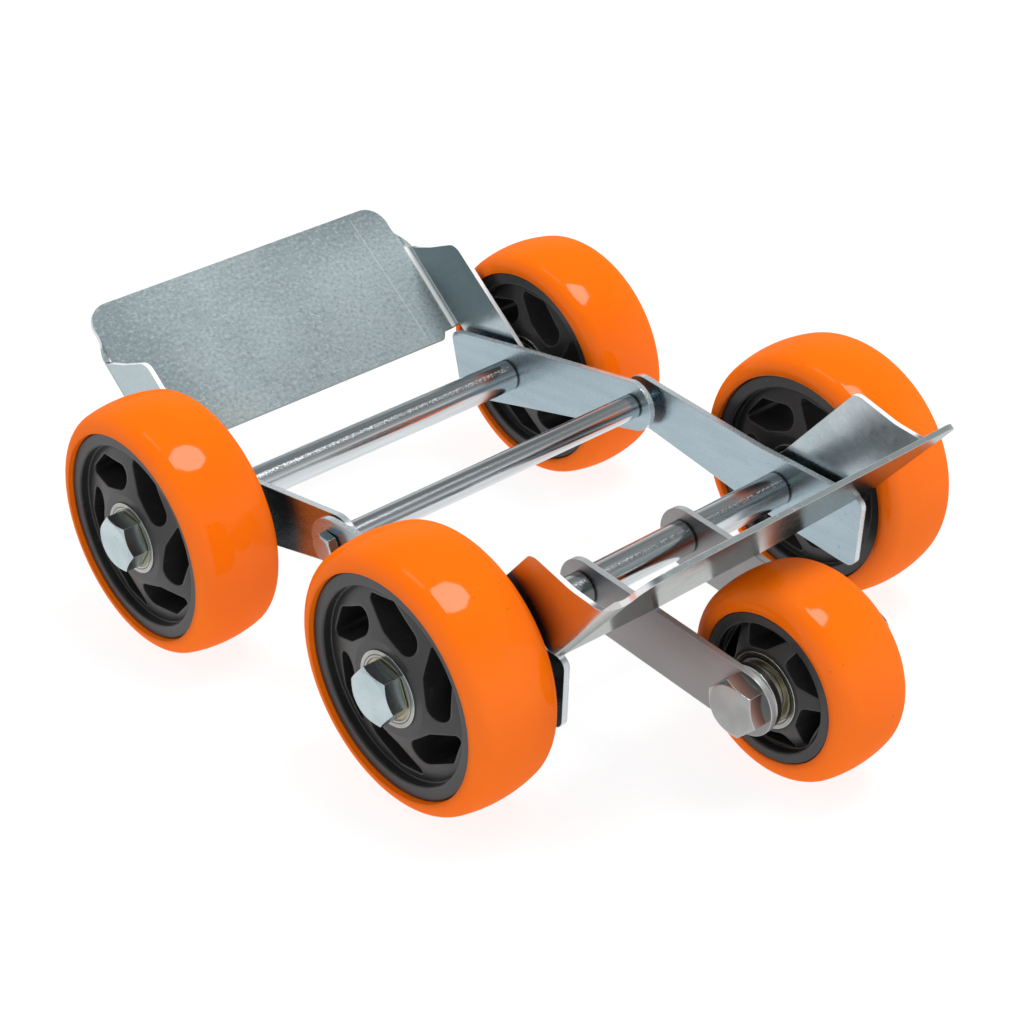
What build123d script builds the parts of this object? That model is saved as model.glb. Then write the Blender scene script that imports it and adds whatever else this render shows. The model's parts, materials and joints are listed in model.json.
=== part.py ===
"""Folding tire dolly: two hinged cradle halves on four wheels and a nose wheel.

Millimetres, +Z up. X runs along the axles from the bolt heads to the nuts,
+Y points from the nose wheel to the rear plate, and Z is 0 on the floor.
"""
import os
from math import atan2, cos, hypot, isclose, radians, sin, sqrt, tan

from build123d import *

# Layout of axles and hinge
wheel_d = 100.0
nose_wheel_d = 75.0
axle_reach = 76.3
hinge_rise = 10.4
nose_reach = 77.7

# Tires and hubs
tire_w = 35.8
tire_t = 8.5
tire_bond = 0.05
nose_tire_w = 32.5
nose_tire_t = 9.7
tread_r = 55.0
tire_side = 0.2
nose_tire_side = 1.4
tire_proud = 0.4
rim_t = 5.4
rim_inset = 1.7
nose_rim_t = 4.2
nose_rim_inset = 0.25
rim_edge_r = 0.8
web_recess = 3.8
boss_wall = 3.5
nose_boss_wall = 1.3
boss_inset = 0.5

# Hub windows: corner radii, and corner angles from where a window starts
window_count = 6
window_boss_gap = 1.5
window_rim_gap = 3.1
window_corner_r = 1.8
window_knee_r = 1.6
window_knee_rise = 3.8
window_belly_r = 5.0
window_start = 3.0
window_end = 22.0
window_belly = 43.0
window_knee = 17.0
nose_boss_gap = 0.4
nose_rim_gap = 0.5
nose_corner_r = 1.5
nose_tip_r = 0.8
nose_heel_r = 2.0
nose_start = 4.0
nose_tip = 46.0
nose_foot = 28.0
nose_heel = 6.0
rear_left_turn = 35.0
rear_right_turn = 25.0
front_left_turn = 12.5
front_right_turn = 30.0
nose_turn = 2.5

# Ball bearings
bearing_od = 28.0
bearing_w = 8.0
bearing_fit = 0.03
race_step = 2.0
ball_d = 4.4
ball_count = 8
ball_play = 0.12
groove_depth = 0.7
shield_t = 0.3
shield_recess = 0.3
shield_play = 0.3
sleeve_wall = 1.6

# Bolts, nuts and washers
axle_d = 12.0
axle_fit = 0.04
axle_flats = 19.0
axle_head_h = 7.5
axle_nut_h = 10.0
hinge_d = 6.0
hinge_fit = 0.06
hinge_flats = 10.0
hinge_head_h = 4.0
hinge_nut_h = 5.0
hinge_tube_d = 10.0
hinge_tube_fit = 0.1
bolt_tip = 1.0
bolt_chamfer = 1.0
hex_face_inset = 0.4
hex_chamfer = 30.0
rear_head_turn = 8.0
front_head_turn = 14.0
nose_head_turn = 20.0
hinge_head_turn = 10.0
washer_t = 2.5
washer_d = 16.4

# Side bars
bar_t = 2.5
bar_gap = 144.0
bar_bend_back = 9.8
bar_bend_r = 15.0
rear_bar_length = 111.2
front_bar_length = 117.2
bar_drop = 7.8
bar_end_h = 29.3
bar_end_r = 4.0
hinge_eye_r = 10.4
hinge_lean = 1.2
hinge_play = 0.3
tube_d = 13.3
tube_fit = 0.1

# Bent plates
plate_t = 2.0
wing_gap = 2.5
lean = 45.0
lug_r = 10.5
rear_tongue_offset = 21.0
front_tongue_offset = 19.2
rear_wing_edge = 9.0
front_wing_edge = 11.0
tongue_top = 98.0
tongue_w = 149.0
tongue_side = 14.3
tongue_corner_r = 9.5
flare_r = 8.0
flare_drop = 11.4
fold_r = 3.0
rear_foot_slant = 2.3
front_foot_slant = 43.3
wing_slope = 64.0
wing_sweep_up = 66.5
wing_sweep_out = 7.0
wing_shoulder = 2.0
wing_sweep_r = 25.0
wing_corner_r = 6.5
relief_gap = 1.8
relief_side = 0.7
arm_gap_over = 0.5

# Fork and nose axle
arm_t = 2.5
arm_w = 24.0
arm_hole_rise = 1.0
arm_gap = 47.5
fork_shift = -1.5
nose_washer_t = 2.5
nose_washer_d = 24.0
nose_spacer_d = 17.0

# Room that a cutting shape has beyond the piece it cuts
spare = 1.0

# Places that follow from the sizes
left, right = -1, 1
rear, front = 1, -1
stack_w = tire_w - 2 * tire_proud
axle_z = wheel_d / 2
nose_z = nose_wheel_d / 2
hinge_z = axle_z + hinge_rise
slant = radians(lean)
rear_face = rear_tongue_offset + plate_t
rear_end = axle_reach + tongue_top * cos(slant) + rear_face * sin(slant)
nose_end = axle_reach + nose_reach + nose_wheel_d / 2
hinge_y = (nose_end - rear_end) / 2
rear_y = hinge_y + axle_reach
front_y = hinge_y - axle_reach
nose_y = front_y - nose_reach
bar_in = bar_gap / 2
bar_out = bar_in + bar_t
wing_in = bar_out + wing_gap
wing_out = wing_in + plate_t
stack_in = wing_out + washer_t
stack_out = stack_in + stack_w
wheel_x = stack_in + stack_w / 2
arm_left = fork_shift - arm_gap / 2
arm_right = fork_shift + arm_gap / 2
bar_bend = axle_reach - bar_bend_back
eye_share = hinge_eye_r / bar_bend
rear_tilt = atan2(hinge_lean, bar_bend)
rear_eye_edge = hinge_lean * (1 + eye_share) + bar_t / cos(rear_tilt)
front_spread = (rear_eye_edge + hinge_play) / (1 - eye_share)
front_tilt = atan2(front_spread, bar_bend)
front_eye_out = bar_in + front_spread + bar_t / cos(front_tilt)
hinge_seat = front_eye_out + hinge_flats / sqrt(3) * tan(front_tilt)
arm_span = hypot(nose_reach, axle_z - nose_z)
arm_slope = atan2(axle_z - nose_z, nose_reach)

# Bearing radii, from the ball's path
pitch_r = (bearing_od + axle_d) / 4
outer_race_r = pitch_r + ball_d / 2 - groove_depth
inner_race_r = pitch_r - ball_d / 2 + groove_depth
groove_r = ball_d / 2 + ball_play

os.makedirs("parts", exist_ok=True)


def across(x, y, z):
    """Plane square to the axles: local x along +Y, local y along +Z."""
    return Plane(origin=(x, y, z), x_dir=(0, 1, 0), z_dir=(1, 0, 0))


def along(x, y, z):
    """Plane that holds an axle line: local x along +X, local y along +Z."""
    return Plane(origin=(x, y, z), x_dir=(1, 0, 0), z_dir=(0, -1, 0))


def axle_line(y, z):
    return Axis((0, y, z), (1, 0, 0))


def save(piece, node):
    piece.part.label = node
    export_step(piece.part, f"parts/{node}.step")


def rings(spans, y, z, r_out, r_in):
    """Washers, tubes, sleeves or shields, one for each span along X."""
    with BuildPart() as group:
        for low, high in spans:
            with BuildSketch(across(low, y, z)):
                Circle(r_out)
                Circle(r_in, mode=Mode.SUBTRACT)
            extrude(amount=high - low)
    return group


def both_sides(x, low, high):
    """A span from low to high on each side of x."""
    return [(x - high, x - low), (x + low, x + high)]


def hex_outline(seat, end, flats, both_ends):
    """Half section, from the axis out, that chamfers a hexagon's corners."""
    outward = 1 if end > seat else -1
    corner_r = flats / sqrt(3)
    face_r = flats / 2 - hex_face_inset
    drop = outward * (corner_r - face_r) * tan(radians(hex_chamfer))
    seat_side = [(seat, 0), (seat, corner_r)]
    if both_ends:
        seat_side = [(seat, 0), (seat, face_r), (seat + drop, corner_r)]
    return seat_side + [(end - drop, corner_r), (end, face_r), (end, 0)]


def bolt(seat, end, tip, y, z, shank_d, flats, turn):
    """Hexagon-head bolt with a bare head and a chamfered tip."""
    with BuildPart() as whole:
        with BuildSketch(across(end, y, z)):
            RegularPolygon(flats / 2, 6, major_radius=False, rotation=turn)
        extrude(amount=seat - end)
        with BuildSketch(along(0, y, z)):
            with BuildLine():
                Polyline(*hex_outline(seat, end, flats, False), close=True)
            make_face()
        revolve(axis=axle_line(y, z), mode=Mode.INTERSECT)
        with BuildSketch(along(0, y, z)):
            with BuildLine():
                Polyline(
                    (seat, 0),
                    (seat, shank_d / 2),
                    (tip - bolt_chamfer, shank_d / 2),
                    (tip, shank_d / 2 - bolt_chamfer),
                    (tip, 0),
                    close=True,
                )
            make_face()
        revolve(axis=axle_line(y, z))
    return whole


def nut(seat, end, y, z, bore_d, flats, turn):
    """Plain hexagon nut, chamfered at both ends."""
    with BuildPart() as whole:
        with BuildSketch(across(seat, y, z)):
            RegularPolygon(flats / 2, 6, major_radius=False, rotation=turn)
        extrude(amount=end - seat)
        with BuildSketch(along(0, y, z)):
            with BuildLine():
                Polyline(*hex_outline(seat, end, flats, True), close=True)
            make_face()
        revolve(axis=axle_line(y, z), mode=Mode.INTERSECT)
        with BuildSketch(across(seat, y, z)):
            Circle(bore_d / 2)
        extrude(amount=end - seat, mode=Mode.SUBTRACT)
    return whole


def bar(way, side, length, spread):
    """Flat side bar, flat at the axle and bent by spread to an eye at the hinge."""
    tilt = atan2(spread, bar_bend)
    reach = length + bar_end_h
    slope = tan(tilt)
    slip = bar_t * tan(tilt / 2)
    axle_y = hinge_y + way * axle_reach
    drop = radians(bar_drop)
    side_plane = Plane(
        origin=(0, hinge_y, hinge_z),
        x_dir=(0, way * cos(drop), -sin(drop)),
        z_dir=(way, 0, 0),
    )
    # Inner and outer line of the strip, seen from above
    eye_end = hinge_eye_r + spare
    eye_x = bar_in + spread + eye_end * slope
    inner = [(bar_in, reach), (bar_in, bar_bend), (eye_x, -eye_end)]
    outer_eye = (eye_x + bar_t * cos(tilt), -eye_end + bar_t * sin(tilt))
    outer = [outer_eye, (bar_out, bar_bend + slip), (bar_out, reach)]
    inner_r, outer_r = bar_bend_r, bar_bend_r + bar_t
    if spread > 0:
        inner_r, outer_r = outer_r, inner_r
    with BuildPart() as strip:
        with BuildSketch() as plan:
            with BuildLine():
                Polyline(
                    *[(side * x, hinge_y + way * y) for x, y in inner + outer],
                    close=True,
                )
            make_face()
            for bend_x, bend_y, bend_r in (
                (bar_in, bar_bend, inner_r),
                (bar_out, bar_bend + slip, outer_r),
            ):
                corner = (side * bend_x, hinge_y + way * bend_y)
                fillet(plan.vertices().sort_by_distance(corner)[0], bend_r)
        extrude(amount=hinge_z + length)
        with BuildSketch(side_plane) as outline:
            Circle(hinge_eye_r)
            with Locations((length, 0)):
                Rectangle(2 * bar_end_r, bar_end_h, align=(Align.MAX, Align.CENTER))
            make_hull()
            fillet(outline.vertices().group_by(Axis.X)[-1], bar_end_r)
        extrude(amount=bar_gap, both=True, mode=Mode.INTERSECT)
        with BuildSketch(across(0, axle_y, axle_z)):
            Circle(axle_d / 2 + axle_fit)
        with BuildSketch(across(0, hinge_y, hinge_z)):
            Circle(hinge_d / 2 + hinge_fit)
        extrude(amount=bar_gap, both=True, mode=Mode.SUBTRACT)
    return strip


def bar_end_up(length):
    """How far the top corner of a bar's end lies up the lean from the axle."""
    drop = radians(bar_drop)
    out = length * cos(drop) + bar_end_h / 2 * sin(drop) - axle_reach
    up = hinge_rise - length * sin(drop) + bar_end_h / 2 * cos(drop)
    return out * cos(slant) + up * sin(slant)


def tongue_foot(outer_face):
    """Lower edge of the tongue, just above the fork arms, along the lean."""
    over = arm_w / 2 - arm_hole_rise + arm_gap_over
    turn = slant + arm_slope
    return (over + outer_face * cos(turn)) / sin(turn)


def plate(way, axle_y, tongue_offset, wing_edge, bar_length, foot_slant):
    """Bent plate: a leaning tongue, and a wing at each side down to the axle."""
    centre = (0, axle_y, axle_z)
    rise = (0, way * cos(slant), sin(slant))
    into = (0, -way * sin(slant), cos(slant))
    end_plane = Plane(origin=centre, x_dir=(way, 0, 0), z_dir=rise).offset(-lug_r)
    face_plane = Plane(origin=centre, x_dir=(way, 0, 0), z_dir=into)
    side_plane = Plane(origin=centre, x_dir=rise, z_dir=(-way, 0, 0))
    outer_face = tongue_offset + plate_t
    foot = tongue_foot(outer_face)
    notch = bar_end_up(bar_length) + relief_gap
    flare_top = tongue_top - tongue_side
    flare_foot = flare_top - flare_drop
    sweep_corner = (wing_sweep_up, wing_sweep_out)
    sweep_run = (wing_sweep_out + wing_edge) / tan(radians(wing_slope))
    edge_corner = (wing_sweep_up - sweep_run, -wing_edge)
    with BuildPart() as sheet:
        # Channel section, square to the lean
        with BuildSketch(end_plane) as channel:
            with Locations((0, -lug_r)):
                Rectangle(2 * wing_out, lug_r + outer_face, align=(Align.CENTER, Align.MIN))
            fillet(channel.vertices().group_by(Axis.Y)[-1], fold_r + plate_t)
        extrude(amount=lug_r + tongue_top)
        with BuildSketch(end_plane) as hollow:
            with Locations((0, -lug_r - spare)):
                Rectangle(
                    2 * wing_in,
                    lug_r + spare + tongue_offset,
                    align=(Align.CENTER, Align.MIN),
                )
            fillet(hollow.vertices().group_by(Axis.Y)[-1], fold_r)
        extrude(amount=lug_r + tongue_top, mode=Mode.SUBTRACT)
        # Wing outline, seen along the axle
        with BuildSketch(side_plane) as wing:
            with BuildLine():
                Polyline(
                    (0, -lug_r),
                    edge_corner,
                    sweep_corner,
                    (flare_foot + wing_shoulder, tongue_offset - spare),
                    (tongue_top + spare, tongue_offset - spare),
                    (tongue_top + spare, outer_face + spare),
                    (foot, outer_face + spare),
                    (foot, tongue_offset - fold_r),
                    (0, lug_r),
                    close=True,
                )
            make_face()
            fillet(wing.vertices().sort_by_distance(sweep_corner)[0], wing_sweep_r)
            fillet(wing.vertices().sort_by_distance(edge_corner)[0], wing_corner_r)
            Circle(lug_r)
        extrude(amount=2 * wing_out, both=True, mode=Mode.INTERSECT)
        # Tongue outline, seen square to its face
        with BuildSketch(face_plane) as tongue:
            with BuildLine():
                half = [
                    (wing_out + spare, -lug_r - spare),
                    (wing_out + spare, flare_foot),
                    (tongue_w / 2, flare_top),
                    (tongue_w / 2, tongue_top),
                ]
                Polyline(*half, *[(-x, y) for x, y in reversed(half)], close=True)
            make_face()
            fillet(tongue.vertices().group_by(Axis.Y)[-2], flare_r)
            fillet(tongue.vertices().group_by(Axis.Y)[-1], tongue_corner_r)
        extrude(amount=lug_r + outer_face + spare, both=True, mode=Mode.INTERSECT)
        # Bend reliefs that clear the bar ends
        relief_in = bar_in - relief_side
        relief_low = tongue_offset - fold_r - relief_side
        with BuildSketch(end_plane.offset(-spare)):
            for side in (left, right):
                with Locations((side * (relief_in + wing_out + spare) / 2, relief_low)):
                    Rectangle(
                        wing_out + spare - relief_in,
                        outer_face + spare - relief_low,
                        align=(Align.CENTER, Align.MIN),
                    )
        extrude(amount=spare + lug_r + notch, mode=Mode.SUBTRACT)
        # Foot corners that slant up to the reliefs
        foot_half = relief_in - foot_slant
        foot_low = min(foot, notch) - spare
        with BuildSketch(face_plane.offset(-outer_face - spare)):
            for side in (left, right):
                with BuildLine():
                    Polyline(
                        (side * foot_half, foot),
                        (side * relief_in, notch),
                        (side * wing_in, notch),
                        (side * wing_in, foot_low),
                        (side * foot_half, foot_low),
                        close=True,
                    )
                make_face()
        extrude(amount=plate_t + 2 * spare, mode=Mode.SUBTRACT)
        with BuildSketch(across(0, axle_y, axle_z)):
            Circle(axle_d / 2 + axle_fit)
        extrude(amount=2 * wing_out, both=True, mode=Mode.SUBTRACT)
    return sheet


def fork_arm(side):
    """Straight flat bar from the front axle to the nose axle."""
    start_x = arm_left if side == left else arm_right + arm_t
    arm_plane = Plane(
        origin=(start_x, front_y, axle_z),
        x_dir=(0, -cos(arm_slope), -sin(arm_slope)),
        z_dir=(-1, 0, 0),
    )
    with BuildPart() as arm:
        with BuildSketch(arm_plane):
            with Locations((arm_span / 2, -arm_hole_rise)):
                SlotCenterToCenter(arm_span, arm_w)
            with Locations((0, 0), (arm_span, 0)):
                Circle(axle_d / 2 + axle_fit, mode=Mode.SUBTRACT)
        extrude(amount=arm_t)
    return arm


def tire(x, y, z, outer_r, rim_r, width, side):
    """Smooth moulded tire: crowned tread, round shoulders, short flat sides."""
    inner_r = rim_r + tire_bond
    half = width / 2
    edge_r = outer_r - tread_r + sqrt(tread_r**2 - half**2)
    deep = outer_r - inner_r - side
    shoulder_r = (2 * tread_r * deep - deep**2 - half**2) / (2 * (tread_r - half))
    with BuildPart() as ring:
        with BuildSketch(along(x, y, z)) as section:
            with BuildLine():
                Polyline((-half, edge_r), (-half, inner_r), (half, inner_r), (half, edge_r))
                ThreePointArc((half, edge_r), (0, outer_r), (-half, edge_r))
            make_face()
            fillet(section.vertices().group_by(Axis.Y)[-1], shoulder_r)
        revolve(axis=axle_line(y, z))
    return ring


def hub(x, y, z, rim_r, rim_in, rim_half, boss_r, window, turn):
    """Moulded hub: rim, dished web with swirled windows, boss with bearing seats."""
    boss_half = stack_w / 2 - boss_inset
    seat_half = stack_w / 2 - bearing_w
    seat_r = bearing_od / 2 + bearing_fit
    half = [
        (rim_half, rim_r),
        (rim_half, rim_in),
        (rim_half - web_recess, rim_in),
        (boss_half, boss_r),
        (boss_half, seat_r),
        (seat_half, seat_r),
        (seat_half, bearing_od / 2 - race_step),
    ]
    with BuildPart() as wheel:
        with BuildSketch(along(x, y, z)) as section:
            with BuildLine():
                Polyline(*half, *[(-a, r) for a, r in reversed(half)], close=True)
            make_face()
            rim_corners = [v for v in section.vertices() if isclose(abs(v.X), rim_half)]
            fillet(rim_corners, rim_edge_r)
        revolve(axis=axle_line(y, z))
        # A window is the hull of four rounds
        for index in range(window_count):
            start = turn + index * 360 / window_count
            with BuildSketch(across(x, y, z)):
                for reach, angle, round_r in window:
                    place = radians(start + angle)
                    with Locations((reach * cos(place), reach * sin(place))):
                        Circle(round_r)
                make_hull()
            extrude(amount=stack_w, both=True, mode=Mode.SUBTRACT)
    return wheel


def bearing_races(lows, y, z, r_out, r_in):
    """Outer or inner races, each with a groove for the balls."""
    with BuildPart() as group:
        for low in lows:
            with BuildSketch(along(low + bearing_w / 2, y, z)):
                with Locations((0, (r_out + r_in) / 2)):
                    Rectangle(bearing_w, r_out - r_in)
                with Locations((0, pitch_r)):
                    Circle(groove_r, mode=Mode.SUBTRACT)
            revolve(axis=axle_line(y, z))
    return group


def bearing_balls(lows, y, z):
    with BuildPart() as group:
        for low in lows:
            with Locations(across(low + bearing_w / 2, y, z)):
                with PolarLocations(pitch_r, ball_count):
                    Sphere(ball_d / 2)
    return group


def bearing_shields(lows, y, z):
    """Two thin covers for each bearing, set in from its faces."""
    spans = []
    for low in lows:
        high = low + bearing_w
        spans.append((low + shield_recess, low + shield_recess + shield_t))
        spans.append((high - shield_recess - shield_t, high - shield_recess))
    return rings(spans, y, z, outer_race_r - bearing_fit, inner_race_r + shield_play)


def bearing_lows(x):
    """Lower faces of the two bearings of the wheel at x."""
    return [x - stack_w / 2, x + stack_w / 2 - bearing_w]


def bearings(name, x, y, z):
    """Pieces of a wheel's two bearings that turn with the wheel."""
    lows = bearing_lows(x)
    save(
        bearing_races(lows, y, z, bearing_od / 2, outer_race_r),
        f"{name}_outer_races",
    )
    save(bearing_balls(lows, y, z), f"{name}_balls")
    save(bearing_shields(lows, y, z), f"{name}_shields")


def axle_core(name, xs, y, z):
    """Inner races and distance sleeves, clamped on one axle bolt."""
    lows = [low for x in xs for low in bearing_lows(x)]
    bore_r = axle_d / 2 + axle_fit
    save(bearing_races(lows, y, z, inner_race_r, bore_r), f"{name}_inner_races")
    sleeve_half = stack_w / 2 - bearing_w
    spans = [(x - sleeve_half, x + sleeve_half) for x in xs]
    save(rings(spans, y, z, bore_r + sleeve_wall, bore_r), f"{name}_sleeves")


def axle_fasteners(name, low, high, y, z, turn):
    """Bolt with its head on the left, seated at low, and a nut seated at high."""
    head_end = low - axle_head_h
    nut_end = high + axle_nut_h
    tip = nut_end + bolt_tip
    save(bolt(low, head_end, tip, y, z, axle_d, axle_flats, turn), f"{name}_axle_bolt")
    bore_d = axle_d + 2 * axle_fit
    save(nut(high, nut_end, y, z, bore_d, axle_flats, turn), f"{name}_axle_nut")


# Wheels
rim_r = wheel_d / 2 - tire_t
rim_in = rim_r - rim_t
rim_half = tire_w / 2 - rim_inset
boss_r = bearing_od / 2 + boss_wall
window_in = boss_r + window_boss_gap
window_out = rim_in - window_rim_gap
window = [
    (window_out - window_corner_r, window_start, window_corner_r),
    (window_out - window_corner_r, window_end, window_corner_r),
    (window_in + window_belly_r, window_belly, window_belly_r),
    (window_in + window_knee_rise, window_knee, window_knee_r),
]
for name, x, y, turn in (
    ("rear_left", -wheel_x, rear_y, rear_left_turn),
    ("rear_right", wheel_x, rear_y, rear_right_turn),
    ("front_left", -wheel_x, front_y, front_left_turn),
    ("front_right", wheel_x, front_y, front_right_turn),
):
    save(tire(x, y, axle_z, wheel_d / 2, rim_r, tire_w, tire_side), f"{name}_tire")
    save(hub(x, y, axle_z, rim_r, rim_in, rim_half, boss_r, window, turn), f"{name}_hub")
    bearings(name, x, y, axle_z)

# Nose wheel
nose_r = nose_wheel_d / 2
nose_rim_r = nose_r - nose_tire_t
nose_rim_in = nose_rim_r - nose_rim_t
nose_rim_half = nose_tire_w / 2 - nose_rim_inset
nose_boss_r = bearing_od / 2 + nose_boss_wall
nose_in = nose_boss_r + nose_boss_gap
nose_out = nose_rim_in - nose_rim_gap
nose_window = [
    (nose_out - nose_corner_r, nose_start, nose_corner_r),
    (nose_out - nose_tip_r, nose_tip, nose_tip_r),
    (nose_in + nose_corner_r, nose_foot, nose_corner_r),
    (nose_in + nose_heel_r, nose_heel, nose_heel_r),
]
nose_tire = tire(fork_shift, nose_y, nose_z, nose_r, nose_rim_r, nose_tire_w, nose_tire_side)
save(nose_tire, "nose_tire")
nose_hub = hub(
    fork_shift,
    nose_y,
    nose_z,
    nose_rim_r,
    nose_rim_in,
    nose_rim_half,
    nose_boss_r,
    nose_window,
    nose_turn,
)
save(nose_hub, "nose_hub")
bearings("nose", fork_shift, nose_y, nose_z)

# Axle bolts, inner races, sleeves and washers
axle_core("rear", (-wheel_x, wheel_x), rear_y, axle_z)
axle_core("front", (-wheel_x, wheel_x), front_y, axle_z)
axle_core("nose", (fork_shift,), nose_y, nose_z)
axle_fasteners("rear", -stack_out, stack_out, rear_y, axle_z, rear_head_turn)
axle_fasteners("front", -stack_out, stack_out, front_y, axle_z, front_head_turn)
axle_fasteners("nose", arm_left - arm_t, arm_right + arm_t, nose_y, nose_z, nose_head_turn)
bolt_hole_r = axle_d / 2 + axle_fit
for name, y in (("rear", rear_y), ("front", front_y)):
    spans = both_sides(0, bar_out, wing_in) + both_sides(0, wing_out, stack_in)
    save(rings(spans, y, axle_z, washer_d / 2, bolt_hole_r), f"{name}_axle_washers")

# Nose axle spacers and washers, between the fork arms and the bearings
spacer_end = arm_gap / 2 - nose_washer_t
spacer_spans = both_sides(fork_shift, stack_w / 2, spacer_end)
save(rings(spacer_spans, nose_y, nose_z, nose_spacer_d / 2, bolt_hole_r), "nose_spacers")
arm_washers = both_sides(fork_shift, spacer_end, arm_gap / 2)
save(rings(arm_washers, nose_y, nose_z, nose_washer_d / 2, bolt_hole_r), "nose_washers")

# Axle tubes, which hold the bars and the fork arms apart
tube_r = tube_d / 2
tube_bore_r = axle_d / 2 + tube_fit
save(rings([(-bar_in, bar_in)], rear_y, axle_z, tube_r, tube_bore_r), "rear_tube")
front_tubes = {
    "front_tube_left": (-bar_in, arm_left - arm_t),
    "front_tube_middle": (arm_left, arm_right),
    "front_tube_right": (arm_right + arm_t, bar_in),
}
for node, span in front_tubes.items():
    save(rings([span], front_y, axle_z, tube_r, tube_bore_r), node)

# Bars, plates and fork arms
for side_name, side in (("left", left), ("right", right)):
    rear_bar = bar(rear, side, rear_bar_length, -side * hinge_lean)
    save(rear_bar, f"rear_bar_{side_name}")
    save(bar(front, side, front_bar_length, front_spread), f"front_bar_{side_name}")
    save(fork_arm(side), f"fork_arm_{side_name}")
rear_plate = plate(
    rear, rear_y, rear_tongue_offset, rear_wing_edge, rear_bar_length, rear_foot_slant
)
save(rear_plate, "rear_plate")
front_plate = plate(
    front, front_y, front_tongue_offset, front_wing_edge, front_bar_length, front_foot_slant
)
save(front_plate, "front_plate")

# Hinge tube between the rear bars, hinge bolt and nut outside the front bars
hinge_tube_r = hinge_tube_d / 2
tube_half = bar_in - hinge_tube_r * tan(rear_tilt)
hinge_span = (-hinge_lean - tube_half, tube_half - hinge_lean)
hinge_tube_bore_r = hinge_d / 2 + hinge_tube_fit
hinge_tube = rings([hinge_span], hinge_y, hinge_z, hinge_tube_r, hinge_tube_bore_r)
save(hinge_tube, "hinge_tube")
hinge_tip = hinge_seat + hinge_nut_h + bolt_tip
hinge_head_end = -hinge_seat - hinge_head_h
hinge_bolt = bolt(
    -hinge_seat, hinge_head_end, hinge_tip, hinge_y, hinge_z, hinge_d, hinge_flats, hinge_head_turn
)
save(hinge_bolt, "hinge_bolt")
hinge_bore_d = hinge_d + 2 * hinge_fit
hinge_nut_end = hinge_seat + hinge_nut_h
hinge_nut = nut(
    hinge_seat, hinge_nut_end, hinge_y, hinge_z, hinge_bore_d, hinge_flats, hinge_head_turn
)
save(hinge_nut, "hinge_nut")
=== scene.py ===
import json
import math
import bpy
from mathutils import Matrix, Vector


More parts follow.
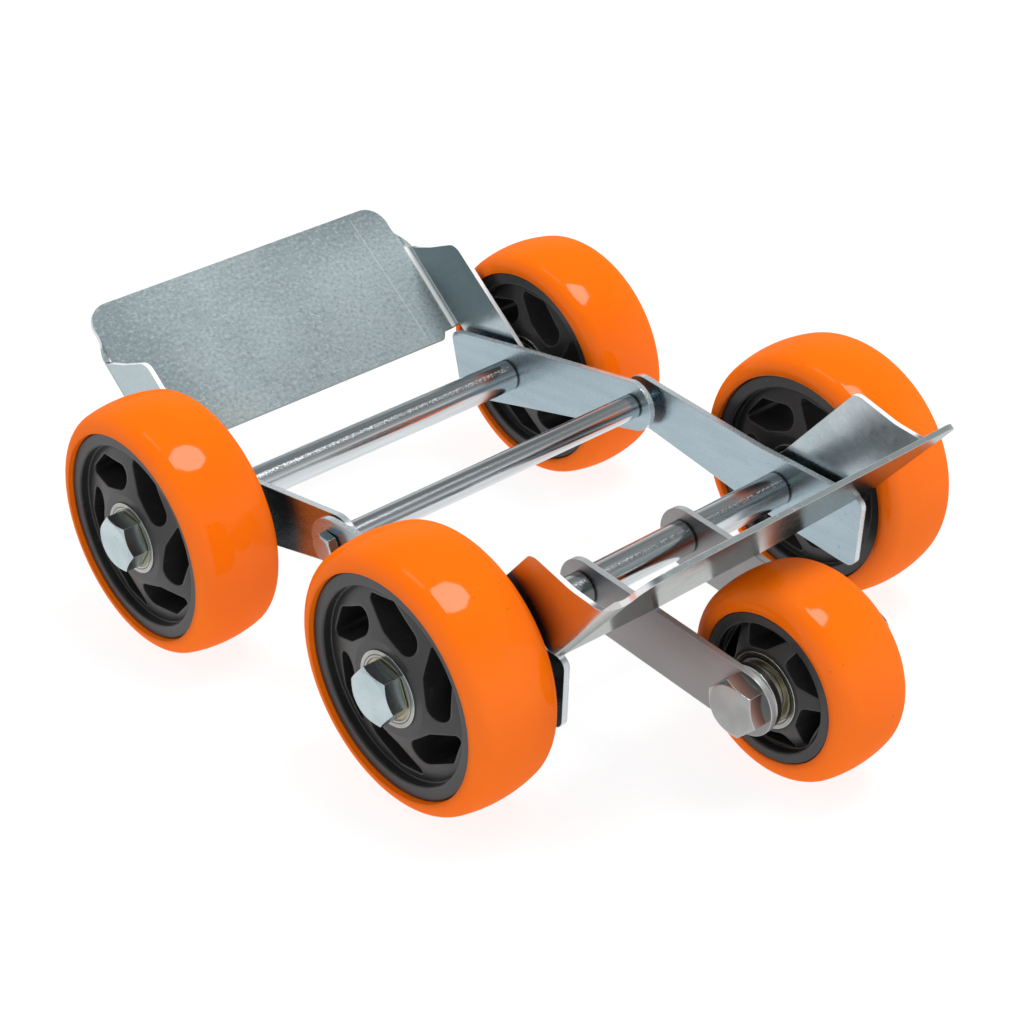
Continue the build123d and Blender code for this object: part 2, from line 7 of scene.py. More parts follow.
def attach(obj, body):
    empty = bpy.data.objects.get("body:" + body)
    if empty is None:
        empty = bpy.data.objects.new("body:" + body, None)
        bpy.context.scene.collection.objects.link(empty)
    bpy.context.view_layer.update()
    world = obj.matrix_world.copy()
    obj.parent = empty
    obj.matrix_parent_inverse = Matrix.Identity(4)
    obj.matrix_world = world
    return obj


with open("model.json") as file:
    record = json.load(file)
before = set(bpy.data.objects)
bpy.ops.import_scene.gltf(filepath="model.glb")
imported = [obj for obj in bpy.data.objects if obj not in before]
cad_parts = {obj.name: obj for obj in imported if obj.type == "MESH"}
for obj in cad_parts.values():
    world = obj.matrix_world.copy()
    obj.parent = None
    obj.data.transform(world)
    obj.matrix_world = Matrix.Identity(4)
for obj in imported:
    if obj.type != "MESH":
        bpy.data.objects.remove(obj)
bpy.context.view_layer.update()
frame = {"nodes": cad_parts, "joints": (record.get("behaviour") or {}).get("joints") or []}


# Bent plates, rear and front.
# Each is a zinc-plated steel blank with a leaning tongue and two wings folded
# beside it. The wings hang on the axle bolts, outside the side bars.
class Wire:
    """A node socket that takes part in Python expressions."""

    def __init__(self, tree, socket=None):
        self.tree = tree
        self.socket = socket

    def node(self, kind, settings=None, out=0, **values):
        """A new node: its settings first, then its sockets by name, or by number as i0, i1."""
        made = self.tree.nodes.new(kind)
        for name, value in (settings or {}).items():
            setattr(made, name, value)
        for name, value in values.items():
            by_number = name[0] == "i" and name[1:].isdigit()
            socket = made.inputs[int(name[1:]) if by_number else name.replace("_", " ")]
            if isinstance(value, Wire):
                self.tree.links.new(value.socket, socket)
            else:
                socket.default_value = value
        if isinstance(out, tuple):
            return [Wire(self.tree, made.outputs[name]) for name in out]
        return Wire(self.tree, made.outputs[out]) if made.outputs else None

    def math(self, operation, first, second=0.0):
        return self.node("ShaderNodeMath", {"operation": operation}, i0=first, i1=second)

    def __add__(self, other):
        return self.math("ADD", self, other)

    def __radd__(self, other):
        return self.math("ADD", other, self)

    def __sub__(self, other):
        return self.math("SUBTRACT", self, other)

    def __rsub__(self, other):
        return self.math("SUBTRACT", other, self)

    def __mul__(self, other):
        return self.math("MULTIPLY", self, other)

    def __rmul__(self, other):
        return self.math("MULTIPLY", other, self)

    def __or__(self, other):
        return self.math("MAXIMUM", self, other)

    def __abs__(self):
        return self.math("ABSOLUTE", self)

    def step(self, low, high):
        """0 at low, 1 at high and smooth between, whichever of the two is larger."""
        return self.node(
            "ShaderNodeMapRange", {"interpolation_type": "SMOOTHSTEP"},
            Value=self, From_Min=low, From_Max=high,
        )

    def mix(self, first, second):
        """A colour from the first to the second, with this value as the share."""
        return self.node(
            "ShaderNodeMix", {"data_type": "RGBA"}, out=2, i0=self, i6=first, i7=second,
        )

    def noise(self, scale, detail=2.0):
        """Noise at this place, from 0 to 1."""
        return self.node("ShaderNodeTexNoise", Vector=self, Scale=scale, Detail=detail)

    def rings(self, scale):
        """Noise that changes with this value alone, from 0 to 1."""
        return self.node(
            "ShaderNodeTexNoise", {"noise_dimensions": "1D"}, W=self * scale, Detail=1.0,
        )

    def moved(self, move=(0, 0, 0), turn=(0, 0, 0), stretch=(1, 1, 1)):
        """This place, moved, turned and stretched."""
        return self.node(
            "ShaderNodeMapping", Vector=self, Location=move, Rotation=turn, Scale=stretch,
        )

    def parts(self):
        """The x, y and z of this place or direction."""
        return self.node("ShaderNodeSeparateXYZ", out=("X", "Y", "Z"), Vector=self)


def finish(name):
    """A new empty material, with its Object coordinates and normals to start from."""
    material = bpy.data.materials.new(name)
    material.use_nodes = True
    material.node_tree.nodes.clear()
    wire = Wire(material.node_tree)
    place, normal = wire.node("ShaderNodeTexCoord", out=("Object", "Normal"))
    return material, place, normal


def rounded_edges(wire, radius):
    """Normals that round every edge by this radius."""
    return wire.node("ShaderNodeBevel", {"samples": 6}, Radius=radius)


def edge_mask(rounded):
    """1 along the rounded edges and 0 on the flat faces."""
    flat = rounded.node("ShaderNodeNewGeometry", out="Normal")
    alike = rounded.node(
        "ShaderNodeVectorMath", {"operation": "DOT_PRODUCT"}, out="Value", i0=rounded, i1=flat,
    )
    return alike.step(0.985, 0.90)


def surface(rounded, relief, relief_h, **values):
    """Shader with rounded edges and a fine relief."""
    shape = rounded.node("ShaderNodeBump", Height=relief, Distance=relief_h, Normal=rounded)
    shader = rounded.node("ShaderNodeBsdfPrincipled", Normal=shape, **values)
    rounded.node("ShaderNodeOutputMaterial", Surface=shader)


nodes = frame["nodes"]


def dress(material, *names):
    """Give the CAD pieces of these names this material alone."""
    for name in names:
        nodes[name].data.materials.clear()
        nodes[name].data.materials.append(material)


def scratches(place, turn, length, width, rare):
    """Straight scratches that all run one way, at this turn about Z."""
    lines = place.moved(turn=(0, 0, turn), stretch=(1 / length, 1 / width, 1 / length))
    return lines.noise(1.0, 1.0).step(rare, rare + 0.04)


def stroke(along, across, start, end, width):
    """One straight scratch from start to end, each a place along and across."""
    run = math.hypot(end[0] - start[0], end[1] - start[1])
    way = ((end[0] - start[0]) / run, (end[1] - start[1]) / run)
    far = (along - start[0]) * way[0] + (across - start[1]) * way[1]
    off = abs((along - start[0]) * -way[1] + (across - start[1]) * way[0])
    tip = width * 12
    return off.step(width, width * 0.4) * far.step(0, tip) * far.step(run, run - tip)


def plate_finish(name, axle, facing, tongue_z, wing_tone_and_reflection, tongue_strokes, wing_strokes):
    """Zinc sheet, with x across the plate, y up its lean and z through the tongue.

    A pair of sizes is where a mark starts and where it is full.
    """
    lean = math.radians(45)
    fold_r, edge_r, relief_h = 0.003, 0.0004, 0.00002
    wing_x, tongue_x = (0.0768, 0.0770), (0.0760, 0.0756)
    # The fold sizes place a painted highlight band inside each fold.
    fold_glint_x, fold_glint_top = (0.0735, 0.0740), (0.0765, 0.0745)
    # The right sizes place a painted lighter right part of the tongue.
    outer_x, painted_light_x = (0.050, 0.060), (0.0, 0.070)
    # The next sizes place painted shade at the tongue's top right and along its left edge.
    shade_top, shade_right, shade_left = (0.070, 0.105), (-0.030, 0.060), (-0.030, -0.070)
    scratch_turns = (0.4, 1.2, 2.0, 2.9)
    scratch_l, scratch_w, scratch_rare = 0.0045, 0.00035, 0.70
    clean_dark, clean_pale = (0.42, 0.50, 0.53, 1), (0.50, 0.58, 0.61, 1)
    # The underside grey is painted light: a paler, warmer grey where the sheet faces down.
    under_painted_grey = (0.50, 0.51, 0.48, 1)
    rubbed_dark, rubbed_pale = (0.31, 0.37, 0.39, 1), (0.37, 0.44, 0.46, 1)
    # The second pale colour is a painted lighter right part of the tongue.
    mottle_pale, right_painted_pale = (0.46, 0.52, 0.53, 1), (0.48, 0.56, 0.58, 1)
    # The green cast is the zinc's own; the second grey is painted shade.
    green_cast, shade_grey = (0.41, 0.45, 0.42, 1), (0.19, 0.24, 0.26, 1)
    speckle_pale, speckle_dark = (0.58, 0.63, 0.63, 1), (0.16, 0.20, 0.21, 1)
    sheared_grey, scratch_pale = (0.35, 0.37, 0.37, 1), (0.80, 0.83, 0.83, 1)
    # The white is a painted highlight for the cut edges, rounded edges and folds.
    cut_highlight_white, grazing_grey = (0.97, 0.99, 1.0, 1), (0.48, 0.50, 0.49, 1)

    # Which way each face looks, and how the zinc clouds over
    spin = Matrix.Rotation(-lean, 3, "X") @ Matrix.Rotation(facing, 3, "Z")
    material, place, normal = finish(name)
    sheet = place.moved(move=-(spin @ axle), turn=spin.to_euler())
    across, up, depth = sheet.parts()
    face_across, face_up, face_depth = normal.moved(turn=spin.to_euler()).parts()
    sideways = abs(face_across)
    rest = face_depth.step(0.5, 0.85)
    under = face_depth.step(-0.5, -0.85)
    outer = (across * face_across).step(*outer_x)
    sheared = abs(face_up).step(0.75, 0.95)
    cloud = sheet.noise(34.0, 3.0)
    mottle = sheet.noise(260.0, 3.0)
    grain = sheet.noise(1500.0, 2.0)
    speckle = sheet.noise(620.0, 3.0)
    cast = sheet.noise(16.0, 2.0).step(0.42, 0.66)

    # Fine scratches all over, and single ones at set places
    hurt = sheet.noise(900.0, 1.0).step(0.66, 0.74)
    for turn in scratch_turns:
        hurt = hurt | scratches(sheet, turn, scratch_l, scratch_w, scratch_rare)
    hurt = hurt * 0.55
    for start, end, width in tongue_strokes:
        hurt = hurt | stroke(across, up, start, end, width) * rest
    for start, end, width in wing_strokes:
        hurt = hurt | stroke(depth, up, start, end, width) * face_across.step(0.6, 0.9)

    # Painted highlights at the cut edges, along every rounded edge and inside the folds
    rounded = rounded_edges(sheet, edge_r)
    wing_cut = abs(across).step(*wing_x) * sideways.step(0.6, 0.25)
    wing_cut = wing_cut * depth.step(tongue_z + fold_r, tongue_z + 2 * fold_r)
    side_cut = abs(across).step(*tongue_x) * sideways.step(0.6, 0.9)
    # A painted highlight band on the inner side of each fold, picked out by position and by its
    # normals.
    fold_glint_band = depth.step(tongue_z + fold_r, tongue_z + 0.9 * fold_r)
    fold_glint_band = fold_glint_band * abs(across).step(*fold_glint_x) * up.step(*fold_glint_top)
    fold_glint = face_depth.step(0.95, 0.90) * face_depth.step(0.60, 0.68)
    fold_glint = fold_glint | face_depth.step(0.32, 0.24) * face_depth.step(0.02, 0.08) * 0.7
    cut_highlight = wing_cut | side_cut * 0.6 | edge_mask(rounded) * 0.45 | fold_glint_band * fold_glint

    # Clean zinc on the wings and below, rubbed zinc where a wheel leans; painted light and
    # painted shade are laid on both as marked below
    smooth = cloud.step(0.3, 0.7).mix(clean_dark, clean_pale)
    # The outer wing faces take the wing colour, which on the front plate is a painted orange
    # reflection of the wheels.
    smooth = (outer * 0.6).mix(smooth, wing_tone_and_reflection)
    # The underside is painted paler and warmer, as painted light.
    smooth = (under * 0.85).mix(smooth, under_painted_grey)
    # Painted shade at the tongue's top right and along its left edge.
    painted_shade = up.step(*shade_top) * across.step(*shade_right) * 0.85
    painted_shade = painted_shade | across.step(*shade_left) * 0.65
    rubbed = cloud.step(0.3, 0.7).mix(rubbed_dark, rubbed_pale)
    rubbed = (mottle.step(0.35, 0.7) * 0.45).mix(rubbed, mottle_pale)
    # A painted lighter right part of the tongue.
    rubbed = (across.step(*painted_light_x) * 0.35).mix(rubbed, right_painted_pale)
    rubbed = (cast * 0.45).mix(rubbed, green_cast)
    rubbed = painted_shade.mix(rubbed, shade_grey)
    rubbed = (speckle.step(0.50, 0.72) * 0.35).mix(rubbed, speckle_pale)
    rubbed = (speckle.step(0.50, 0.28) * 0.40).mix(rubbed, speckle_dark)
    colour = rest.mix(smooth, rubbed)
    colour = (sheared * 0.7).mix(colour, sheared_grey)
    colour = (hurt * 0.5).mix(colour, scratch_pale)
    colour = cut_highlight.mix(colour, cut_highlight_white)
    rough = 0.22 + rest * 0.42 - under * 0.09 + sheared * 0.2
    rough = rough + (mottle - 0.5) * 0.16 + (grain - 0.5) * 0.10
    relief = grain * 0.4 + mottle * 0.4 - hurt * 0.5
    surface(
        rounded, relief, relief_h, Base_Color=colour, Metallic=1.0 - cut_highlight * 0.9,
        Roughness=rough, Specular_Tint=grazing_grey,
    )
    return material


joint_at = {joint["name"]: Vector(joint["pos_m"]) for joint in frame["joints"]}
rear_axle = joint_at["rear_left_roll"] * Vector((0, 1, 1))
front_axle = joint_at["front_left_roll"] * Vector((0, 1, 1))
rear_tongue_z, front_tongue_z = -0.0210, -0.0192
# The front wing colour is a painted orange reflection of the wheels; the rear one is plain zinc.
rear_wing_tint, front_wing_painted_reflection = (0.48, 0.56, 0.58, 1), (0.70, 0.60, 0.57, 1)
rear_tongue_strokes = [
    ((0.0585, 0.0968), (0.0612, 0.0335), 0.00020),
    ((-0.0396, 0.0754), (-0.0389, 0.0717), 0.00025),
    ((0.0163, 0.0633), (0.0210, 0.0591), 0.00014),
]
front_wing_strokes = [
    ((-0.0017, 0.0512), (-0.0090, 0.0505), 0.00018),
    ((-0.0069, 0.0565), (-0.0136, 0.0564), 0.00018),
]
rear_zinc = plate_finish(
    "rear_plate_zinc", rear_axle, 0.0, rear_tongue_z, rear_wing_tint, rear_tongue_strokes, [],
)
dress(rear_zinc, "rear_plate")
front_zinc = plate_finish(
    "front_plate_zinc", front_axle, math.pi, front_tongue_z, front_wing_painted_reflection,
    [], front_wing_strokes,
)
dress(front_zinc, "front_plate")


# Side bars of both halves.
# Flat steel bars, bent a little in plan, drilled for the axle and the hinge,
# zinc plated after bending, so smoother and bluer than the sheet.
def bar_finish(name, dark, pale, stretch, shine):
    """Rolled and plated bar: faint lengthwise streaks, small pits, and painted highlights on its
    narrow faces and edges.
    """
    edge_r, relief_h = 0.0005, 0.00002
    # The pale colour paints highlights on the narrow faces and edges.
    pit_dark, cut_highlight_pale = (0.24, 0.26, 0.28, 1), (0.84, 0.90, 0.92, 1)
    material, place, normal = finish(name)
    streak = place.moved(stretch=stretch).noise(1.0, 3.0)
    cloud = place.noise(60.0, 3.0)
    grain = place.noise(1600.0, 2.0)
    pits = place.noise(700.0, 1.0).step(0.70, 0.76)
    rounded = rounded_edges(place, edge_r)
    face_across = normal.parts()[0]
    # Painted highlights on the narrow faces and along every rounded edge.
    cut_highlight = abs(face_across).step(0.7, 0.4) * 0.55 | edge_mask(rounded) * 0.6
    colour = (streak.step(0.3, 0.7) * 0.6 + cloud * 0.4).mix(dark, pale)
    colour = (pits * 0.5).mix(colour, pit_dark)
    colour = cut_highlight.mix(colour, cut_highlight_pale)
    rough = shine + (streak - 0.5) * 0.14 + (grain - 0.5) * 0.10
    relief = grain * 0.3 + streak * 0.4 - pits * 0.5
    surface(
        rounded, relief, relief_h, Base_Color=colour, Metallic=1.0 - cut_highlight * 0.7, Roughness=rough,
    )
    return material


bar_dark, bar_pale = (0.33, 0.42, 0.47, 1), (0.41, 0.50, 0.55, 1)
bar_zinc = bar_finish("bar_zinc", bar_dark, bar_pale, stretch=(500, 16, 160), shine=0.26)
dress(bar_zinc, "rear_bar_left", "rear_bar_right", "front_bar_left", "front_bar_right")


# Fork arms that hold the nose wheel.
# Two flat steel bars with rounded ends, brushed along their length before
# plating, so greyer and duller than the side bars.
arm_dark, arm_pale = (0.25, 0.245, 0.245, 1), (0.30, 0.295, 0.30, 1)
arm_zinc = bar_finish("arm_zinc", arm_dark, arm_pale, stretch=(300, 20, 90), shine=0.34)
dress(arm_zinc, "fork_arm_left", "fork_arm_right")


# Distance tubes on the axles and on the hinge bolt.
# Welded steel tube, bright plated, with drawing marks along its length and
# the speckled line where the weld was scarfed off.
def tube_finish(name, centre, seam, tubes):
    """Drawn tubes round an axis along X, with the weld at this angle and a painted contact
    shadow where they end.
    """
    edge_r, relief_h = 0.0003, 0.00002
    # The end sizes place a painted contact shadow at each tube end.
    end_shadow_w = (0.0010, 0.0005)
    tube_dark, tube_pale = (0.46, 0.50, 0.52, 1), (0.74, 0.78, 0.80, 1)
    # The weld colour is the seam's own; the end colour is a painted contact shadow.
    weld_dark, end_shadow_dark = (0.10, 0.10, 0.10, 1), (0.03, 0.03, 0.03, 1)
    material, place, _ = finish(name)
    along, back, up = place.moved(move=-centre).parts()
    angle = place.math("ARCTAN2", up, back)
    streak = place.moved(stretch=(9, 650, 650)).noise(1.0, 3.0)
    smear = place.moved(stretch=(26, 240, 240)).noise(1.0, 2.0)
    grain = place.noise(1500.0, 2.0)
    speckle = place.noise(950.0, 1.0).step(0.45, 0.6)
    weld = abs(angle - seam).step(0.16, 0.05) * speckle
    colour = (streak.step(0.25, 0.75) * 0.6 + smear * 0.4).mix(tube_dark, tube_pale)
    colour = (weld * 0.75).mix(colour, weld_dark)
    # Painted contact shadow where each tube ends against its neighbour.
    for tube in tubes:
        corners = nodes[tube].bound_box
        for end_x in (corners[0][0], corners[6][0]):
            end = abs(along - end_x).step(*end_shadow_w)
            colour = (end * 0.9).mix(colour, end_shadow_dark)
    rough = 0.16 + (streak - 0.4) * 0.16 + weld * 0.35
    relief = streak * 0.5 + grain * 0.2
    surface(
        rounded_edges(place, edge_r), relief, relief_h,
        Base_Color=colour, Metallic=1.0, Roughness=rough,
    )
    dress(material, *tubes)


fold_axle = joint_at["fold"] * Vector((0, 1, 1))
axle_seam, hinge_seam = 2.25, -1.0
front_tubes = ["front_tube_left", "front_tube_middle", "front_tube_right"]
tube_finish("rear_tube_zinc", rear_axle, axle_seam, ["rear_tube"])
tube_finish("front_tube_zinc", front_axle, axle_seam, front_tubes)
tube_finish("hinge_tube_zinc", fold_axle, hinge_seam, ["hinge_tube"])


# Axle and hinge bolts with their nuts, washers and spacers.
# Cold-formed hexagon bolts and turned washers, bright zinc with a faint
# yellow and blue cast; their head marks are left bare.
def distance(place, centre):
    """Distance from an axis along X through the centre."""
    _, back, up = place.moved(move=-centre).parts()
    return place.math("SQRT", back * back + up * up)


def turned_finish(name, centre, dark, pale, shine, grooves=()):
    """Metal turned round an axis along X through the centre, grooved at these radii."""
    edge_r, relief_h = 0.0004, 0.00002
    groove_w = (0.00028, 0.00012)
    # The second colour is a painted highlight along the edges.
    nick_dark, edge_highlight_pale = (0.25, 0.25, 0.24, 1), (0.90, 0.93, 0.93, 1)
    groove_dark = (0.05, 0.048, 0.04, 1)
    material, place, normal = finish(name)
    radius = distance(place, centre)
    face_along = normal.parts()[0]
    turned = (radius.rings(4200.0) - 0.5) * abs(face_along).step(0.8, 0.95)
    cloud = place.noise(90.0, 3.0)
    grain = place.noise(1700.0, 2.0)
    nick = place.noise(520.0, 1.0).step(0.70, 0.78)
    rounded = rounded_edges(place, edge_r)
    # Painted highlights along every rounded edge.
    edge_highlight = edge_mask(rounded) * 0.6
    colour = (cloud.step(0.3, 0.7) * 0.7 + turned * 0.5).mix(dark, pale)
    colour = (nick * 0.4).mix(colour, nick_dark)
    colour = edge_highlight.mix(colour, edge_highlight_pale)
    for groove_r in grooves:
        groove = abs(radius - groove_r).step(*groove_w)
        colour = (groove * 0.9).mix(colour, groove_dark)
    rough = shine + turned * 0.16 + (grain - 0.5) * 0.06
    relief = turned * 0.4 + grain * 0.12 - nick * 0.3
    surface(
        rounded, relief, relief_h, Base_Color=colour, Metallic=1.0 - edge_highlight * 0.8, Roughness=rough,
    )
    return material


nose_axle = joint_at["nose_roll"] * Vector((0, 1, 1))
bolt_dark, bolt_pale = (0.40, 0.49, 0.52, 1), (0.52, 0.61, 0.63, 1)
nose_dark, nose_pale = (0.31, 0.325, 0.32, 1), (0.40, 0.415, 0.41, 1)
ring_dark, ring_pale = (0.58, 0.60, 0.58, 1), (0.78, 0.80, 0.78, 1)
for name, centre in (("rear", rear_axle), ("front", front_axle)):
    zinc = turned_finish(f"{name}_bolt_zinc", centre, bolt_dark, bolt_pale, shine=0.26)
    dress(
        zinc, f"{name}_axle_bolt", f"{name}_axle_nut", f"{name}_axle_washers", f"{name}_sleeves",
    )
nose_zinc = turned_finish("nose_bolt_zinc", nose_axle, nose_dark, nose_pale, shine=0.22)
dress(nose_zinc, "nose_axle_bolt", "nose_axle_nut", "nose_sleeves")
ring_zinc = turned_finish("nose_ring_zinc", nose_axle, ring_dark, ring_pale, shine=0.20)
dress(ring_zinc, "nose_spacers", "nose_washers")
hinge_zinc = turned_finish("hinge_bolt_zinc", fold_axle, bolt_dark, bolt_pale, shine=0.26)
dress(hinge_zinc, "hinge_bolt", "hinge_nut")


# Ball bearings, two in each wheel.
# Ground steel races and balls behind pressed shields, which are passivated
# yellow and rolled into the outer race at a rounded lip.
lips = bpy.data.node_groups.new("shield_lips", "GeometryNodeTree")
lips.interface.new_socket("Lips", in_out="OUTPUT", socket_type="NodeSocketGeometry")
lip_sizes = {"Ring Radius": 0.01115, "Lip Radius": 0.00025, "Half Width": 0.0171}
lip_sockets = {
    label: lips.interface.new_socket(label, in_out="INPUT", socket_type="NodeSocketFloat")
    for label in lip_sizes
}
lip_sockets["Steel"] = lips.interface.new_socket(
    "Steel", in_out="INPUT", socket_type="NodeSocketMaterial",
)
maker = Wire(lips)
ring_r, lip_r, half_w, steel = maker.node(
    "NodeGroupInput", out=("Ring Radius", "Lip Radius", "Half Width", "Steel"),
)
circle = maker.node("GeometryNodeCurvePrimitiveCircle", Resolution=90, Radius=ring_r)
bead = maker.node("GeometryNodeCurvePrimitiveCircle", Resolution=8, Radius=lip_r)
lip = maker.node("GeometryNodeCurveToMesh", Curve=circle, Profile_Curve=bead)
sides = maker.node(
    "GeometryNodeMeshLine", Count=2,
    Start_Location=maker.node("ShaderNodeCombineXYZ", X=half_w * -1.0),
    Offset=maker.node("ShaderNodeCombineXYZ", X=half_w * 2.0),
)
pair = maker.node(
    "GeometryNodeInstanceOnPoints", Points=sides, Instance=lip, Rotation=(0, math.pi / 2, 0),
)
whole = maker.node("GeometryNodeRealizeInstances", Geometry=pair)
made = maker.node("GeometryNodeSetMaterial", Geometry=whole, Material=steel)
maker.node("NodeGroupOutput", Lips=made)


def shield_lips(wheel, steel):
    """Rolled lips of one wheel's shields, as a plain mesh that turns with the wheel."""
    holder = bpy.data.objects.new("lip_holder", bpy.data.meshes.new("lip_holder"))
    bpy.context.scene.collection.objects.link(holder)
    modifier = holder.modifiers.new("lips", "NODES")
    modifier.node_group = lips
    for label, size in lip_sizes.items():
        modifier[lip_sockets[label].identifier] = size
    modifier[lip_sockets["Steel"].identifier] = steel
    shown = holder.evaluated_get(bpy.context.evaluated_depsgraph_get())
    mesh = bpy.data.meshes.new_from_object(shown)
    bpy.data.objects.remove(holder)
    mesh.transform(Matrix.Translation(joint_at[f"{wheel}_roll"]))
    mesh.shade_smooth()
    piece = bpy.data.objects.new(f"{wheel}_shield_lips", mesh)
    bpy.context.scene.collection.objects.link(piece)
    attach(piece, f"{wheel}_wheel")


wheel_sets = (
    ("rear", rear_axle, ("rear_left", "rear_right")),
    ("front", front_axle, ("front_left", "front_right")),
    ("nose", nose_axle, ("nose",)),
)
race_dark, race_pale, race_groove_r = (0.32, 0.32, 0.30, 1), (0.44, 0.44, 0.41, 1), 0.0124
shield_dark, shield_pale = (0.34, 0.30, 0.19, 1), (0.48, 0.43, 0.28, 1)
for name, centre, wheels in wheel_sets:
    race = turned_finish(
        f"{name}_race_steel", centre, race_dark, race_pale, shine=0.20, grooves=[race_groove_r],
    )
    shield = turned_finish(
        f"{name}_shield_steel", centre, shield_dark, shield_pale, shine=0.30,
    )
    dress(race, f"{name}_inner_races")
    for wheel in wheels:
        dress(race, f"{wheel}_outer_races", f"{wheel}_balls")
        dress(shield, f"{wheel}_shields")
        shield_lips(wheel, shield)


# Wheel hubs.
# Black glass-filled nylon mouldings with swirled spokes, fine-grained by the
# mould and rounded at every edge.
def hub_finish(name, centre):
    """Moulded black nylon, a little dusty, with painted highlights along its edges."""
    edge_r, relief_h = 0.0010, 0.00005
    hub_dark, hub_pale = (0.019, 0.019, 0.0195, 1), (0.027, 0.027, 0.0275, 1)
    # This grey is dust, and a painted highlight along the edges.
    dust_and_highlight_grey = (0.10, 0.098, 0.095, 1)
    material, place, _ = finish(name)
    rings = distance(place, centre).rings(1400.0)
    cloud = place.noise(48.0, 3.0)
    grain = place.noise(1500.0, 3.0)
    dust = place.noise(420.0, 4.0).step(0.58, 0.76)
    rounded = rounded_edges(place, edge_r)
    colour = cloud.step(0.3, 0.7).mix(hub_dark, hub_pale)
    # Dust, and painted highlights along every rounded edge.
    colour = (dust * 0.25 | edge_mask(rounded) * 0.6).mix(colour, dust_and_highlight_grey)
    rough = 0.36 + (grain - 0.5) * 0.25 + dust * 0.1 + (rings - 0.5) * 0.1
    relief = grain * 0.6 + rings * 0.25
    surface(
        rounded, relief, relief_h, Base_Color=colour, Roughness=rough, Specular_IOR_Level=0.42,
    )
    return material


for name, centre, wheels in wheel_sets:
    black = hub_finish(f"{name}_hub_nylon", centre)
    dress(black, *[f"{wheel}_hub" for wheel in wheels])


# Tires.
# Orange polyurethane cast round the hubs, satin glossy, with faint flow marks
# and a few dark specks of dust.
def tire_finish(name, centre):
    """Cast polyurethane under a thin gloss."""
    edge_r, relief_h = 0.0045, 0.00003
    tire_deep, tire_pale = (0.98, 0.165, 0.003, 1), (1.0, 0.18, 0.005, 1)
    speck_brown = (0.20, 0.04, 0.004, 1)
    material, place, _ = finish(name)
    rings = distance(place, centre).rings(900.0)
    flow = place.noise(24.0, 3.0)
    grain = place.noise(1300.0, 2.0)
    speck = place.noise(560.0, 1.0).step(0.77, 0.80)
    colour = flow.step(0.3, 0.7).mix(tire_deep, tire_pale)
    colour = (speck * 0.3).mix(colour, speck_brown)
    rough = 0.17 + (flow - 0.5) * 0.08 + (grain - 0.5) * 0.08
    relief = grain * 0.25 + flow * 0.3 + rings * 0.2
    surface(
        rounded_edges(place, edge_r), relief, relief_h, Base_Color=colour, Roughness=rough,
        Specular_IOR_Level=0.0, Coat_Weight=0.08, Coat_Roughness=0.07, Coat_IOR=2.6,
    )
    return material


for name, centre, wheels in wheel_sets:
    orange = tire_finish(f"{name}_tire_urethane", centre)
    dress(orange, *[f"{wheel}_tire" for wheel in wheels])


# Floor, studio light and white surround.
# A pale table that keeps a faint shadow and lets the camera see what folds
# below it, an octagonal softbox and a dim strip overhead, and a white room
# with a dim ceiling.
def stage_sheet(name, points, material):
    """One flat sheet of the stage, through these corner points."""
    mesh = bpy.data.meshes.new(name)
    mesh.from_pydata(points, [], [tuple(range(len(points)))])
    mesh.materials.append(material)
    sheet = bpy.data.objects.new(name, mesh)
    bpy.context.scene.collection.objects.link(sheet)


def lamp_finish(name, strength):
    """Plain white light of this strength."""
    material, place, _ = finish(name)
    glow = place.node("ShaderNodeEmission", Color=(1, 1, 1, 1), Strength=strength)
    place.node("ShaderNodeOutputMaterial", Surface=glow)
    return material


def facing_ring(centre, radius, count):
    """Corner points of a flat ring round the centre that faces the middle of the part."""
    back = centre.normalized()
    side = back.cross(Vector((0, 0, 1))).normalized()
    top = side.cross(back)
    turns = [math.tau * (k + 0.5) / count for k in range(count)]
    return [centre + (side * math.cos(a) + top * math.sin(a)) * radius for a in turns]


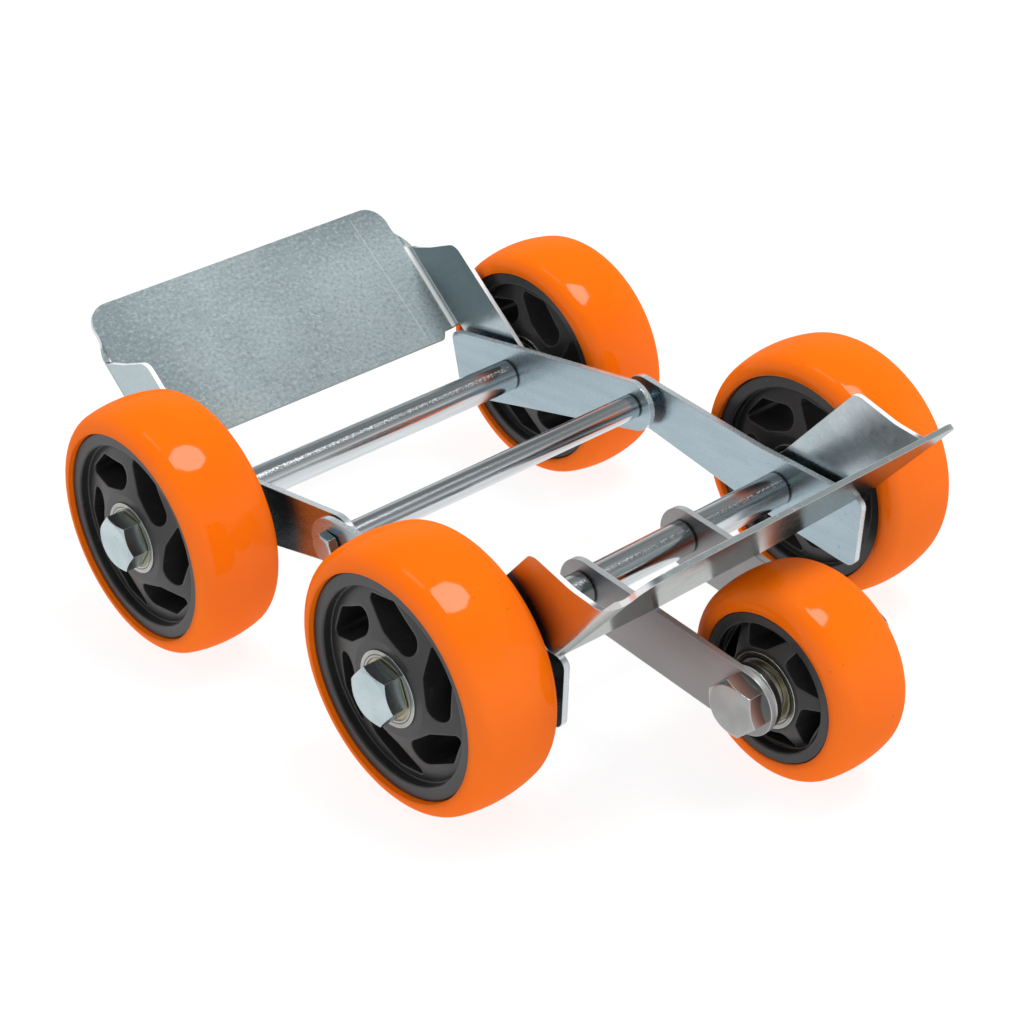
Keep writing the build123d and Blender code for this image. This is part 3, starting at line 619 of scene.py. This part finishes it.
table_half = 6.0
table_light, table_mirrored = 0.78, 0.08
table_clear, table_grey = (0.86, 0.86, 0.86, 1), (0.2, 0.2, 0.2, 1)
table, table_place, _ = finish("table_white")
camera_ray, glossy_ray = table_place.node(
    "ShaderNodeLightPath", out=("Is Camera Ray", "Is Glossy Ray"),
)
glow = table_place.node(
    "ShaderNodeEmission", Color=(1, 1, 1, 1), Strength=table_light + glossy_ray * table_mirrored,
)
clear = table_place.node("ShaderNodeBsdfTransparent", Color=table_clear)
matt = table_place.node("ShaderNodeBsdfDiffuse", Color=table_grey)
pale = table_place.node("ShaderNodeMixShader", i0=camera_ray, i1=glow, i2=clear)
table_top = table_place.node("ShaderNodeAddShader", i0=pale, i1=matt)
table_place.node("ShaderNodeOutputMaterial", Surface=table_top)
stage_sheet(
    "table",
    [(x * table_half, y * table_half, 0) for x, y in ((-1, -1), (1, -1), (1, 1), (-1, 1))],
    table,
)
softbox_at, softbox_r, softbox_corners = Vector((0.735, -0.763, 3.023)), 0.72, 8
softbox_strength, strip_strength = 11.0, 2.6
stage_sheet(
    "softbox",
    facing_ring(softbox_at, softbox_r, softbox_corners),
    lamp_finish("softbox_light", softbox_strength),
)
strip_x, strip_y, strip_z = (-0.45, 0.15), (0.05, 1.35), 3.0
stage_sheet(
    "strip",
    [(strip_x[i], strip_y[j], strip_z) for i, j in ((0, 0), (0, 1), (1, 1), (1, 0))],
    lamp_finish("strip_light", strip_strength),
)

room_white, wall_grey, ceiling_grey = (1, 1, 1, 1), (0.72, 0.72, 0.72, 1), (0.22, 0.225, 0.23, 1)
world = bpy.data.worlds.new("room")
world.use_nodes = True
world.node_tree.nodes.clear()
bpy.context.scene.world = world
room = Wire(world.node_tree)
camera_ray, glossy_ray, clear_ray = room.node(
    "ShaderNodeLightPath", out=("Is Camera Ray", "Is Glossy Ray", "Is Transmission Ray"),
)
height = room.node("ShaderNodeTexCoord", out="Generated").parts()[2]
mirrored = height.step(0.05, 0.75).mix(room_white, ceiling_grey)
lit = (glossy_ray | clear_ray).mix(wall_grey, mirrored)
seen = camera_ray.mix(lit, room_white)
backdrop = room.node("ShaderNodeBackground", Color=seen, Strength=1.0)
room.node("ShaderNodeOutputWorld", Surface=backdrop)


# Camera.
# It stands left of the front half and looks down on the part, as in the
# photograph, with a long lens.
lens = bpy.data.cameras.new("camera")
lens.lens = 82.79
lens.sensor_width = 36.0
lens.clip_end = 50.0
camera = bpy.data.objects.new("camera", lens)
bpy.context.scene.collection.objects.link(camera)
bpy.context.scene.camera = camera
stand = Vector((-0.5011, -0.59668, 0.4675))
right = Vector((0.7465, -0.66243, -0.06268))
upward = Vector((0.35689, 0.31912, 0.87795))
turn = Matrix((right, upward, right.cross(upward))).transposed()
camera.matrix_world = Matrix.Translation(stand) @ turn.to_4x4()
bpy.context.scene.view_settings.view_transform = "Standard"
